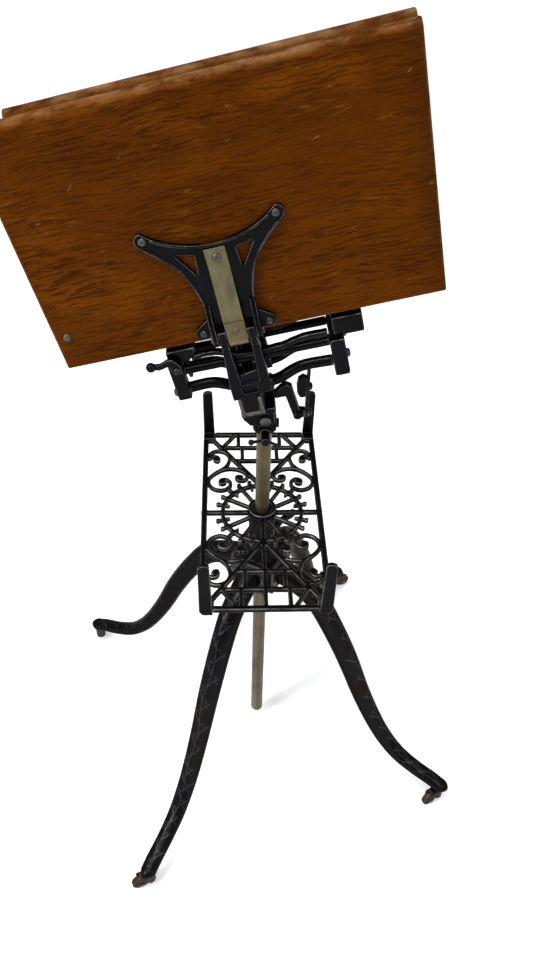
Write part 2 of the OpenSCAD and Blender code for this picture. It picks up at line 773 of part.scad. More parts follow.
module yoke_rear() {
    color(iron) tilted() mirror([0, 1, 0]) yoke();
}

module hinge_pin() {
    reach = lug_x + lug_w / 2 + gap;
    rod_x(hinge_x - reach, hinge_x + reach, pin_r, -pin_y, hinge_z);
    for (s = [-1, 1])
        rod_x(hinge_x + s * (reach + 0.9) - 0.9, hinge_x + s * (reach + 0.9) + 0.9, 4,
              -pin_y, hinge_z);
}

module hinge_pin_front() {
    color(steel) tilted() hinge_pin();
}

module hinge_pin_rear() {
    color(steel) tilted() mirror([0, 1, 0]) hinge_pin();
}

// ---- boards, closed like a book ----------------------------------------------

// Edge profile in Y and Z: round upper edge, eased lower edge
module board_profile() {
    r = board_t / 2;
    translate([-board_out, board_z + 3]) square([board_t, board_h - 3 - r]);
    translate([-board_out + r, board_z + board_h - r]) circle(r = r);
    translate([-board_out + 3, board_z]) square([board_t - 6, 4]);
    for (y = [-board_out + 3, -board_in - 3]) translate([y, board_z + 3]) circle(r = 3);
}

module board(x0, x1) {
    difference() {
        plate_yz(x0, x1) board_profile();
        for (p = bracket_holes())
            rod_y(-board_out - 1, -board_out + 11, screw_r + run, p[0], board_z + p[1]);
    }
}

function bracket_holes() = [
    for (s = [-1, 1]) for (p = [arm_screw, lobe_screw]) [hinge_x + s * p[0], p[1]],
    [hinge_x, strap_screw_z]
];

module board_front() {
    x0 = board_x - board_w / 2;
    color(oak) tilted() difference() {
        board(x0, x0 + board_w);
        for (z = ledge_screw_z)
            rod_y(-board_out - 1, 0, screw_r + run, ledge_screw_x, board_z + z);
    }
}

module board_rear() {
    x0 = board_x - board_w / 2;
    color(oak) tilted() mirror([0, 1, 0]) board(x0 + rear_short, x0 + board_w);
}

module book_ledge() {
    x0 = board_x - board_w / 2;
    color(oak) tilted() difference() {
        plate_yz(x0, x0 + ledge_w) union() {
            translate([-board_in, board_z + 8]) square([ledge_t, board_h - 16]);
        }
        for (z = ledge_screw_z)
            rod_y(-board_in - 1, 4, screw_r + run, ledge_screw_x, board_z + z);
    }
}

// Outline of the bracket, from its middle line out, z above the board's edge
module bracket_outline() {
    sweep_r = 102;      // hollow upper edge
    difference() {
        union() {
            for (s = [-1, 1]) {
                translate([s * arm_screw[0], arm_screw[1]]) circle(r = 8);
                translate([s * 34.5, 12]) circle(r = 7.6);
                polygon([[s * 20, 6], [s * 34, 4.6], [s * 40, 17], [s * 26, 27], [s * 20, 30]]);
                polygon([[0, 100], [s * 60, 132], [s * 68, 115.2], [s * 50, 99], [s * 39, 84.5],
                         [s * 32, 68], [s * 27, 47], [s * 25.8, 30], [s * 25.8, 2], [0, 2]]);
            }
        }
        translate([0, 106.5 + sweep_r]) circle(r = sweep_r, $fn = 128);
        for (s = [-1, 1])
            polygon([[s * 39, 101.5], [s * 20.5, 97.5], [s * 22.5, 75]]);
    }
}

module bracket() {
    ear_in = ear_x - ear_w / 2 - 0.6;
    ear_out = ear_x + ear_w / 2 + 0.35;
    difference() {
        union() {
            translate([hinge_x, 0, board_z])
                plate_xz(-board_out - bracket_t, -board_out) bracket_outline();
            for (s = [-1, 1])
                plate_yz(hinge_x + s * lug_x - lug_w / 2, hinge_x + s * lug_x + lug_w / 2) union() {
                    translate([-pin_y, hinge_z]) circle(r = 7.4);
                    polygon([[-board_out, board_z + 2], [-pin_y, hinge_z - 7.4],
                             [-pin_y - 7.3, hinge_z + 1], [-pin_y - 4, hinge_z + 18],
                             [-board_out - bracket_t, hinge_z + 38], [-board_out, hinge_z + 38]]);
                }
        }
        rod_x(hinge_x - 40, hinge_x + 40, pin_r + run, -pin_y, hinge_z);
        for (s = [-1, 1])
            box([hinge_x + (s > 0 ? ear_in : -ear_out), -pin_y - 9, board_z - 1],
                [hinge_x + (s > 0 ? ear_out : -ear_in), -board_out + 0.01, hinge_z + 10]);
        for (p = bracket_holes())
            rod_y(-60, 0, screw_r + run, p[0], board_z + p[1]);
    }
}

module bracket_front() {
    color(iron) tilted() bracket();
}

module bracket_rear() {
    color(iron) tilted() mirror([0, 1, 0]) bracket();
}

module board_screws() {
    face = board_out + bracket_t;
    for (s = [-1, 1]) {
        screw_y(hinge_x + s * arm_screw[0], board_z + arm_screw[1], face, screw_r, 14, 4, 20 * s);
        screw_y(hinge_x + s * lobe_screw[0], board_z + lobe_screw[1], face, screw_r, 14, 4,
                65 * s);
    }
    screw_y(hinge_x, board_z + strap_screw_z, face + 1.6, screw_r, 15.6, 4.6, 10);
}

// The front board's screws include the two that hold the ledge
module board_screws_front() {
    color(steel) tilted() {
        board_screws();
        for (z = ledge_screw_z)
            screw_y(ledge_screw_x, board_z + z, board_out, screw_r, 24, 4.4, 50);
    }
}

module board_screws_rear() {
    color(steel) tilted() mirror([0, 1, 0]) board_screws();
}

// Leaf spring, screwed to the bracket at its upper end
module spring() {
    face = board_out + bracket_t;
    tip = pin_y + 3.2;
    difference() {
        plate_yz(hinge_x - 10.5, hinge_x + 10.5)
            polygon([[-face, board_z + 102], [-face - 1.6, board_z + 102],
                     [-face - 1.6, board_z + 82], [-tip - 1, board_z + 28],
                     [-tip - 1, board_z + 2], [-tip, board_z + 2], [-tip, board_z + 28],
                     [-face, board_z + 82]]);
        rod_y(-60, 0, screw_r + run, hinge_x, board_z + strap_screw_z);
    }
}

module spring_front() {
    color(nickel) tilted() spring();
}

module spring_rear() {
    color(nickel) tilted() mirror([0, 1, 0]) spring();
}

// Clip riveted over the spring's tip and bent in under the hinge pin
module clip() {
    face = pin_y + 4.2;
    plate_yz(hinge_x - 9.8, hinge_x + 9.8)
        polygon([[-face - 1.6, board_z - 4], [-face + 10, board_z - 4], [-face + 10, board_z - 2.4],
                 [-face, board_z - 2.4], [-face, board_z + 24], [-face - 1.6, board_z + 24]]);
    translate([hinge_x, -face - 1.6, board_z + 14]) rotate([90, 0, 0]) domed(3, 1.6);
}

module clip_front() {
    color(nickel) tilted() clip();
}

module clip_rear() {
    color(nickel) tilted() mirror([0, 1, 0]) clip();
}

hub();
leg(0);  // leg_front_left
leg(1);  // leg_front_right
leg(2);  // leg_back_left
leg(3);  // leg_back_right
leg_screws();
height_screw();
caster_fork(0);  // caster_fork_front_left
caster_fork(1);  // caster_fork_front_right
caster_fork(2);  // caster_fork_back_left
caster_fork(3);  // caster_fork_back_right
caster_wheel(0);  // caster_wheel_front_left
caster_wheel(1);  // caster_wheel_front_right
caster_wheel(2);  // caster_wheel_back_left
caster_wheel(3);  // caster_wheel_back_right
caster_axle(0);  // caster_axle_front_left
caster_axle(1);  // caster_axle_front_right
caster_axle(2);  // caster_axle_back_left
caster_axle(3);  // caster_axle_back_right
book_shelf();
shelf_lip(-1, -1);  // shelf_lip_front_left
shelf_lip(1, -1);  // shelf_lip_front_right
shelf_lip(-1, 1);  // shelf_lip_back_left
shelf_lip(1, 1);  // shelf_lip_back_right
shelf_set_screw();
post();
head_socket();
tilt_pin();
clamp_handle();
tilt_knuckle();
slide_channel();
cradle_frame_front();
cradle_frame_rear();
upper_bars();
end_plate_left();
end_plate_right();
spine_rest_left();
spine_rest_right();
end_bolts();
catch_arm();
catch_pin();
catch_link();
catch_pawl();
latch_lever();
latch_pin();
yoke_front();
yoke_rear();
hinge_pin_front();
hinge_pin_rear();
board_front();
board_rear();
book_ledge();
bracket_front();
bracket_rear();
board_screws_front();
board_screws_rear();
spring_front();
spring_rear();
clip_front();
clip_rear();
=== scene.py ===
"""Looks for the adjustable book stand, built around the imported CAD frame."""
import json
import math
import random

import bmesh
import bpy
import numpy as np
from mathutils import Matrix, Vector, noise


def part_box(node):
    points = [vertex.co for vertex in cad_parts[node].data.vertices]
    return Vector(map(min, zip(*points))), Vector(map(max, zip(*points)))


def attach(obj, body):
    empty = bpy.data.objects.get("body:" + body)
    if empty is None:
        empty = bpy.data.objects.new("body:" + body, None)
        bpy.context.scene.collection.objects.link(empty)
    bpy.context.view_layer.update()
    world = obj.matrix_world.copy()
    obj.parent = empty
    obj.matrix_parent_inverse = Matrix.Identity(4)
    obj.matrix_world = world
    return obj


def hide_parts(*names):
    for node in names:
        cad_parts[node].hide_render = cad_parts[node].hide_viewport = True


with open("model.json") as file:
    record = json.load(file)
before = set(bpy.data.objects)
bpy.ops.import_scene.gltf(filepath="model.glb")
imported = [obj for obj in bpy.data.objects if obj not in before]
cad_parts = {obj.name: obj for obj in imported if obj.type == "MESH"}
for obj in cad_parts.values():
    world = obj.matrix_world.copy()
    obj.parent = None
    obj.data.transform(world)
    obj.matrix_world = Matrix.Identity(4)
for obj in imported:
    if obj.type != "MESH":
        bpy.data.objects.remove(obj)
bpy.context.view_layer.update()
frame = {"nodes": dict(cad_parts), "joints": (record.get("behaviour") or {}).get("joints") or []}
nodes = frame["nodes"]
joints = {j["name"]: j for j in frame["joints"]}
scene = bpy.context.scene
scene.view_settings.view_transform = "Standard"

MM = 0.001
hinge_axis = joints["board_open_front"]["axis"]
TILT = math.atan2(hinge_axis[2], hinge_axis[0])
PIVOT = Vector(joints["tilt"]["pos_m"])
TILTED = Matrix.Translation(PIVOT) @ Matrix.Rotation(-TILT, 4, "Y")
LEVEL = Matrix.Identity(4)
CORNERS = ("front_left", "front_right", "back_left", "back_right")


# ---- node materials ----------------------------------------------------------

class Shader:
    """A principled material and short calls for the nodes that feed it."""

    def __init__(self, name):
        self.material = bpy.data.materials.new(name)
        self.material.use_nodes = True
        self.tree = self.material.node_tree
        self.tree.nodes.clear()
        out = self.tree.nodes.new("ShaderNodeOutputMaterial")
        self.surface = self.tree.nodes.new("ShaderNodeBsdfPrincipled")
        self.tree.links.new(self.surface.outputs[0], out.inputs["Surface"])
        coords = self.tree.nodes.new("ShaderNodeTexCoord")
        self.place = coords.outputs["Object"]
        self.geometry = self.tree.nodes.new("ShaderNodeNewGeometry")

    def set(self, **values):
        """Sets or links the shader's sockets, with _ for a space in their names."""
        for name, value in values.items():
            self.feed(self.surface.inputs[name.replace("_", " ")], value)

    def feed(self, socket, value):
        """Links a socket to another one, or gives it a number, vector or colour."""
        if isinstance(value, bpy.types.NodeSocket):
            self.tree.links.new(value, socket)
        elif isinstance(value, (tuple, list)) and len(value) == 3 and len(socket.default_value) == 4:
            socket.default_value = (*value, 1)
        else:
            socket.default_value = value

    def make(self, kind, inputs, **props):
        """A node with its inputs fed and its own settings set."""
        made = self.tree.nodes.new("ShaderNode" + kind)
        for name, value in props.items():
            setattr(made, name, value)
        for name, value in inputs.items():
            self.feed(made.inputs[name], value)
        return made

    def scaled(self, scale, place=None):
        return self.make("Mapping", {"Vector": place or self.place, "Scale": scale}).outputs[0]

    def noise(self, scale, detail=3.0, rough=0.55, place=None, distortion=0.0):
        """Noise from 0 to 1 at so many cells per metre."""
        vector = self.scaled(scale, place) if isinstance(scale, tuple) else (place or self.place)
        return self.make("TexNoise", {
            "Vector": vector, "Scale": 1.0 if isinstance(scale, tuple) else scale,
            "Detail": detail, "Roughness": rough, "Distortion": distortion}).outputs[0]

    def ramp(self, value, low, high, start=0.0, end=1.0):
        """value from low..high to start..end, held at both ends."""
        return self.make("MapRange", {"Value": value, "From Min": low, "From Max": high,
                                      "To Min": start, "To Max": end}).outputs[0]

    def math(self, operation, a, b=0.0):
        made = self.tree.nodes.new("ShaderNodeMath")
        made.operation = operation
        self.feed(made.inputs[0], a)
        self.feed(made.inputs[1], b)
        return made.outputs[0]

    def mix(self, factor, a, b):
        made = self.tree.nodes.new("ShaderNodeMix")
        made.data_type = "RGBA"
        self.feed(made.inputs[0], factor)
        self.feed(made.inputs[6], a)
        self.feed(made.inputs[7], b)
        return made.outputs[2]

    def bump(self, height, strength, distance, normal=None):
        inputs = {"Height": height, "Strength": strength, "Distance": distance}
        if normal is not None:
            inputs["Normal"] = normal
        return self.make("Bump", inputs).outputs[0]

    def attribute(self, name):
        made = self.tree.nodes.new("ShaderNodeAttribute")
        made.attribute_name = name
        return made


def iron_material(name, black, brown, gloss, wear, edges=(0.510, 0.57)):
    """Black japan over cast iron: deep, slightly uneven gloss, lighter on its edges, partly bare from wear
    and partly a painted highlight.

    gloss is the least roughness, wear how bare and light the edges grow, as wear and painted highlight, and
    edges the range of
    Pointiness over which a surface turns from whole to bare and lighter.
    """
    s = Shader(name)
    patches = s.ramp(s.noise(16, 5, 0.6), 0.40, 0.66)
    fine = s.noise(420, 3, 0.6)
    edge = s.ramp(s.geometry.outputs["Pointiness"], *edges)
    wear_and_highlight = s.math("MULTIPLY", edge, s.ramp(s.noise(55, 5, 0.65), 0.38, 0.60, 0.15, wear))
    specks = s.ramp(s.noise(190, 4, 0.7), 0.66, 0.72, 0.0, 0.6)
    carved_dust_and_highlight = s.make("SeparateColor", {"Color": s.attribute("marks").outputs["Color"]}).outputs[0]
    color = s.mix(patches, black, brown)
    color = s.mix(specks, color, (0.036, 0.022, 0.012))
    # painted highlight: edges turn light grey, partly bare iron from wear and partly a painted highlight
    # along the rims
    color = s.mix(wear_and_highlight, color, (0.200, 0.190, 0.178))
    # painted highlight: the carved strokes turn bluish grey, partly dust in the grooves and partly a
    # painted highlight along their edges
    color = s.mix(s.math("MULTIPLY", carved_dust_and_highlight, 0.36), color, (0.098, 0.101, 0.110))
    rough = s.math("ADD", s.ramp(s.noise(32, 4), 0.3, 0.7, gloss, gloss + 0.14),
                   s.math("MULTIPLY", s.math("ADD", wear_and_highlight, carved_dust_and_highlight), 0.16))
    peel = s.bump(s.noise(95, 3), 0.55, 0.0008)
    s.set(Base_Color=color, Metallic=0.86, Roughness=rough, Specular_IOR_Level=0.12,
          Specular_Tint=(0.42, 0.40, 0.39), Normal=s.bump(fine, 0.32, 0.00020, peel))
    return s.material


def nickel_material(name, bright, dull, stretch, rough=0.40, metal=0.75):
    """Old nickel plate: yellowed, with drawn streaks, stains and small pits.

    stretch is the streaks' noise scale along X, Y and Z, so the smallest is along the streaks.
    """
    s = Shader(name)
    streaks = s.noise(stretch, 4, 0.6)
    stains = s.ramp(s.noise(26, 6, 0.62, distortion=0.6), 0.44, 0.66)
    pits = s.ramp(s.noise(640, 2), 0.57, 0.70)
    edge = s.ramp(s.geometry.outputs["Pointiness"], 0.52, 0.62, 0.0, 0.6)
    color = s.mix(s.ramp(streaks, 0.3, 0.7), bright, dull)
    color = s.mix(s.math("MULTIPLY", stains, 0.55), color, tuple(c * 0.42 for c in dull))
    color = s.mix(s.math("MULTIPLY", pits, 0.6), color, (0.05, 0.035, 0.02))
    color = s.mix(edge, color, tuple(min(1.0, c * 1.5) for c in bright))
    s.set(Base_Color=color, Metallic=metal,
          Roughness=s.math("ADD", s.ramp(streaks, 0.3, 0.7, rough - 0.08, rough + 0.1),
                           s.math("MULTIPLY", stains, 0.14)),
          Normal=s.bump(streaks, 0.22, 0.00025, s.bump(pits, -0.3, 0.0002)))
    return s.material


def oak_material(name):
    """Old varnished oak; x runs along the grain and z up the board."""
    s = Shader(name)
    sway = s.ramp(s.noise((9.0, 30.0, 7.0), 3, 0.6), 0, 1, -0.0085, 0.0085)
    ripple_sway = s.ramp(s.noise((60.0, 60.0, 26.0), 2), 0, 1, -0.0010, 0.0010)
    lift = s.make("CombineXYZ", {"Z": s.math("ADD", sway, ripple_sway)}).outputs[0]
    place = s.make("VectorMath", {0: s.place, 1: lift}, operation="ADD").outputs[0]
    bands = s.noise((2.2, 8.0, 20.0), 3, 0.5, place)
    tone = s.noise((3.0, 6.0, 5.0), 3, 0.5)
    lines = s.noise((44.0, 80.0, 560.0), 3, 0.65, place)
    pores = s.noise((110.0, 300.0, 1300.0), 3, 0.6, place)
    glow = s.ramp(s.noise((9.0, 20.0, 16.0), 2), 0.58, 0.76)
    flecks = s.ramp(s.noise((22.0, 90.0, 150.0), 2, 0.5, place, 0.8), 0.64, 0.74)
    marks = s.make("SeparateColor", {"Color": s.attribute("marks").outputs["Color"]})
    pale_wear_and_highlight, darkening_and_shade, scratch = (marks.outputs[i] for i in range(3))
    color = s.mix(s.ramp(tone, 0.3, 0.7), (0.047, 0.0108, 0.0001), (0.086, 0.0212, 0.0002))
    color = s.mix(s.ramp(bands, 0.35, 0.7, 0.0, 0.45), color, (0.108, 0.0275, 0.0003))
    color = s.mix(s.math("MULTIPLY", glow, 0.40), color, (0.165, 0.0450, 0.0010))
    color = s.mix(s.math("MULTIPLY", flecks, 0.32), color, (0.17, 0.070, 0.006))
    strength = s.ramp(s.noise((6.0, 20.0, 14.0), 3), 0.34, 0.66, 0.30, 0.85)
    line = s.math("MULTIPLY", s.ramp(lines, 0.50, 0.57), strength)
    color = s.mix(line, color, (0.026, 0.0055, 0.0001))
    color = s.mix(s.ramp(pores, 0.56, 0.70, 0.0, 0.60), color, (0.022, 0.0050, 0.0003))
    # painted shade: the dark channel holds spots, blots, random patches and a darker right end, and also a
    # painted shade band below the top edge
    color = s.mix(s.math("MULTIPLY", darkening_and_shade, 0.85), color, (0.012, 0.0035, 0.0006))
    # painted highlight: the pale channel lightens the arrises as wear, and the top arris also as a painted
    # highlight
    color = s.mix(s.math("MULTIPLY", pale_wear_and_highlight, 0.75), color, (0.235, 0.125, 0.045))
    color = s.mix(s.math("MULTIPLY", scratch, 0.55), color, (0.30, 0.17, 0.060))
    groove = s.math("ADD", s.math("MULTIPLY", line, 0.7), s.math("MULTIPLY", scratch, 0.8))
    relief = s.bump(groove, -0.35, 0.0003, s.bump(bands, 0.10, 0.0006))
    s.set(Base_Color=color, Roughness=s.ramp(s.noise(18, 4), 0.3, 0.7, 0.36, 0.50),
          Specular_IOR_Level=0.02, Normal=relief)
    return s.material


japan = iron_material("japan", (0.0066, 0.0069, 0.0084), (0.0058, 0.0052, 0.0050), 0.20, 0.95)
shelf_japan = iron_material("shelf_japan", (0.0088, 0.0090, 0.0102), (0.0074, 0.0068, 0.0064),
                            0.24, 0.95, (0.506, 0.56))
leg_japan = iron_material("leg_japan", (0.0090, 0.0092, 0.0108), (0.0105, 0.0082, 0.0066),
                          0.20, 0.6, (0.540, 0.62))
grey_iron = iron_material("grey_iron", (0.030, 0.033, 0.040), (0.022, 0.021, 0.021), 0.32, 0.9)
caster_iron = iron_material("caster_iron", (0.040, 0.032, 0.027), (0.075, 0.058, 0.046), 0.36, 0.9)
post_nickel = nickel_material("post_nickel", (0.114, 0.094, 0.044), (0.060, 0.047, 0.022),
                              (260.0, 260.0, 9.0))
strap_nickel = nickel_material("strap_nickel", (0.134, 0.116, 0.060), (0.077, 0.065, 0.031),
                               (160.0, 160.0, 24.0))
clip_nickel = nickel_material("clip_nickel", (0.135, 0.104, 0.058), (0.080, 0.060, 0.034),
                              (120.0, 120.0, 60.0), 0.34)
rail_nickel = nickel_material("rail_nickel", (0.12, 0.11, 0.085), (0.040, 0.036, 0.028),
                              (90.0, 18.0, 90.0), 0.34, 0.85)
screw_steel = nickel_material("screw_steel", (0.105, 0.098, 0.088), (0.045, 0.040, 0.036),
                              (300.0, 300.0, 300.0), 0.36, 0.85)
oak = oak_material("oak")


# ---- pieces ------------------------------------------------------------------

def applied(obj):
    """Takes the result of obj's modifiers as its mesh."""
    graph = bpy.context.evaluated_depsgraph_get()
    mesh = bpy.data.meshes.new_from_object(obj.evaluated_get(graph))
    obj.modifiers.clear()
    obj.data = mesh
    return mesh


def points_of(mesh):
    """Where a mesh's points are, and their normals."""
    co, normals = np.empty((2, len(mesh.vertices) * 3), np.float32)
    mesh.vertices.foreach_get("co", co)
    mesh.vertex_normals.foreach_get("vector", normals)
    return co.reshape(-1, 3).astype(float), normals.reshape(-1, 3).astype(float)


def move_points(mesh, co):
    """Puts a mesh's points at new places."""
    mesh.vertices.foreach_set("co", co.astype(np.float32).reshape(-1))
    mesh.update()


def noise_at(points):
    """Smooth noise from -1 to 1 at each point."""
    return np.array([noise.noise(p) for p in points.tolist()])


def paint(mesh, values):
    """Keeps up to three numbers for each point, which the materials read."""
    colors = np.zeros((len(values), 4), np.float32)
    colors[:, :values.shape[1]] = np.clip(values, 0, 1)
    colors[:, 3] = 1
    mesh.color_attributes.new("marks", "FLOAT_COLOR", "POINT").data.foreach_set("color", colors.reshape(-1))


def add_object(name, mesh, place=LEVEL):
    """A new object in the scene, whose mesh is in place's frame."""
    obj = bpy.data.objects.new(name, mesh)
    scene.collection.objects.link(obj)
    obj.matrix_world = place
    return obj


def finish_piece(obj, body, material, replaced, sharp):
    """Gives a piece its finish and its body, and hides the CAD nodes that it stands for."""
    mesh = obj.data
    mesh.materials.clear()
    mesh.materials.append(material)
    for p in mesh.polygons:
        p.use_smooth = True
    mesh.set_sharp_from_angle(angle=math.radians(sharp))
    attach(obj, body)
    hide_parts(*replaced)


def from_cad(name, node_names, place, extra=None):
    """A new object with the CAD nodes' joined meshes, cleaned, in the given frame."""
    bm = bmesh.new()
    for n in node_names:
        bm.from_mesh(nodes[n].data)
    bm.transform(place.inverted())
    bmesh.ops.remove_doubles(bm, verts=bm.verts, dist=2e-6)
    bmesh.ops.dissolve_limit(bm, angle_limit=math.radians(1.5), verts=bm.verts, edges=bm.edges)
    if extra:
        extra(bm)
    mesh = bpy.data.meshes.new(name)
    bm.to_mesh(mesh)
    bm.free()
    return add_object(name, mesh, place)


def skin(bm, rings):
    """A closed shell over rings of points, which have the same number each."""
    sides = len(rings[0])
    for a, b in zip(rings, rings[1:]):
        for k in range(sides):
            bm.faces.new((a[k], a[(k + 1) % sides], b[(k + 1) % sides], b[k]))
    bm.faces.new(rings[0][::-1])
    bm.faces.new(rings[-1])


def tube(bm, path, radius, sides=12):
    """A round bead along a line of points, smaller at its two ends."""
    rings = []
    for i, p in enumerate(path):
        ahead = (path[min(i + 1, len(path) - 1)] - path[max(i - 1, 0)]).normalized()
        turn = ahead.to_track_quat("Z", "Y").to_matrix()
        r = radius * (0.45 if i in (0, len(path) - 1) else 1.0)
        rings.append([bm.verts.new(p + turn @ Vector((r * math.cos(a), r * math.sin(a), 0)))
                      for a in (2 * math.pi * k / sides for k in range(sides))])
    skin(bm, rings)


def spline(points, steps):
    """Catmull-Rom curve through the points."""
    out = []
    for i in range(len(points) - 1):
        p = [Vector(points[min(max(j, 0), len(points) - 1)]) for j in (i - 1, i, i + 1, i + 2)]
        for k in range(steps):
            t = k / steps
            out.append(0.5 * (2 * p[1] + (p[2] - p[0]) * t
                              + (2 * p[0] - 5 * p[1] + 4 * p[2] - p[3]) * t * t
                              + (3 * p[1] - p[0] - 3 * p[2] + p[3]) * t ** 3))
    return out + [Vector(points[-1])]


def lathe(bm, profile, sides, matrix):
    """A closed solid of revolution about Z from (radius, height) points, bottom to top."""
    rings = []
    for r, z in profile:
        rings.append([bm.verts.new(matrix @ Vector((r * math.cos(a), r * math.sin(a), z)))
                      for a in (2 * math.pi * k / sides for k in range(sides))])
    skin(bm, rings)


UNEVEN = 0.08               # how far a casting's skin wanders, in millimetres
KEPT_FACES = 0.5            # the share of a casting's fine triangles that is kept


def cast(name, body, node_names, material, voxel=0.7, smooth=4,
         place=LEVEL, grow=0.0, extra=None):
    """A casting: soft edges and a slightly uneven skin over the CAD shape.

    voxel and grow (outwards) are in millimetres, smooth is the number of smoothing rounds, and
    extra(bm) draws what the CAD shape leaves out.
    """
    obj = from_cad(name, node_names, place, extra)
    remesh = obj.modifiers.new("remesh", "REMESH")
    remesh.mode = "VOXEL"
    remesh.voxel_size = voxel * MM
    soften = obj.modifiers.new("smooth", "SMOOTH")
    soften.factor = 0.5
    soften.iterations = smooth
    applied(obj)
    co, normals = points_of(obj.data)
    move_points(obj.data, co + normals * (MM * (grow + UNEVEN * noise_at(co * 90)))[:, None])
    fewer = obj.modifiers.new("decimate", "DECIMATE")
    fewer.ratio = KEPT_FACES
    applied(obj)
    finish_piece(obj, body, material, node_names, 60)


def machined(name, body, node_names, material, bevel, segments=2, place=LEVEL):
    """A cut or pressed piece: the CAD shape with its edges broken by bevel millimetres."""
    obj = from_cad(name, node_names, place)
    edge = obj.modifiers.new("bevel", "BEVEL")
    edge.width = bevel * MM
    edge.segments = segments
    edge.limit_method = "ANGLE"
    edge.angle_limit = math.radians(30)
    edge.use_clamp_overlap = False
    applied(obj)
    finish_piece(obj, body, material, node_names, 40)


# ---- boards ------------------------------------------------------------------

EASE = 0.0016                       # radius of a board's eased lower corners
END_RINGS = (0.00004, 0.0005, 0.0012)   # how far in from a board's end its last rings are
END_INSETS = (0.0013, 0.0005, 0.00012)  # how far those rings are drawn in, to round the arris
END_BODY = 0.0025                   # where a board's full section begins
SCRATCH_WIDTH = 0.0009
WORN_AND_LIT_TOP = 0.0075                   # how far the wear and painted highlight of the top edge reach down
WORN_SIDE = 0.0022                  # that of the two upright edges
WORN_FOOT = 0.0020                  # and that of the lower edge


def near(gap, reach):
    """1 where the gap is none, falling to 0 at reach."""
    return np.clip(1 - gap / reach, 0, 1)


def board_section(y0, y1, z0, z1, bull, step):
    """A board's outline in Y and Z, with a bull-nosed top, from the front face's foot up."""
    thick = y1 - y0
    flat = max(2, round((z1 - z0) / step))
    straight = z1 - bull - z0 - EASE
    nose = [math.pi * i / 12 for i in range(1, 12)]
    corner = [math.pi / 2 * i / 4 for i in range(1, 4)]
    section = [(y0, z0 + EASE + straight * i / flat) for i in range(flat + 1)]
    section += [((y0 + y1) / 2 - thick / 2 * math.cos(a), z1 - bull + bull * math.sin(a)) for a in nose]
    section += [(y1, z1 - bull - straight * i / flat) for i in range(flat + 1)]
    section += [(y1 - EASE + EASE * math.cos(a), z0 + EASE - EASE * math.sin(a)) for a in corner]
    section += [(y1 - EASE - (thick - 2 * EASE) * i / 7, z0) for i in range(8)]
    section += [(y0 + EASE - EASE * math.sin(a), z0 + EASE - EASE * math.cos(a)) for a in corner]
    return section


def board_shell(name, low, high, bull, step):
    """A board with a bull-nosed top edge and eased corners, in quads of about step."""
    x0, y0, z0 = low
    x1, y1, z1 = high
    section = board_section(y0, y1, z0, z1, bull, step)
    count = round((x1 - x0 - 2 * END_BODY) / step)
    rings = [x0 + d for d in END_RINGS]
    rings += [x0 + END_BODY + (x1 - x0 - 2 * END_BODY) * i / count for i in range(count + 1)]
    rings += [x1 - d for d in END_RINGS[::-1]]
    insets = [*END_INSETS, *[0.0] * (count + 1), *END_INSETS[::-1]]
    bm = bmesh.new()
    cy, cz = (y0 + y1) / 2, (z0 + z1) / 2
    loops = []
    for x, d in zip(rings, insets):
        loop = []
        for y, z in section:
            py = y + (d if y < cy else -d) * min(1.0, abs(y - cy) / ((y1 - y0) / 2))
            pz = z + (d if z < cz else -d) * (1.0 if z < z0 + EASE or z > z1 - bull else 0.0)
            loop.append(bm.verts.new((x, py, pz)))
        loops.append(loop)
    skin(bm, loops)
    bmesh.ops.recalc_face_normals(bm, faces=bm.faces)
    mesh = bpy.data.meshes.new(name)
    bm.to_mesh(mesh)
    bm.free()
    return mesh


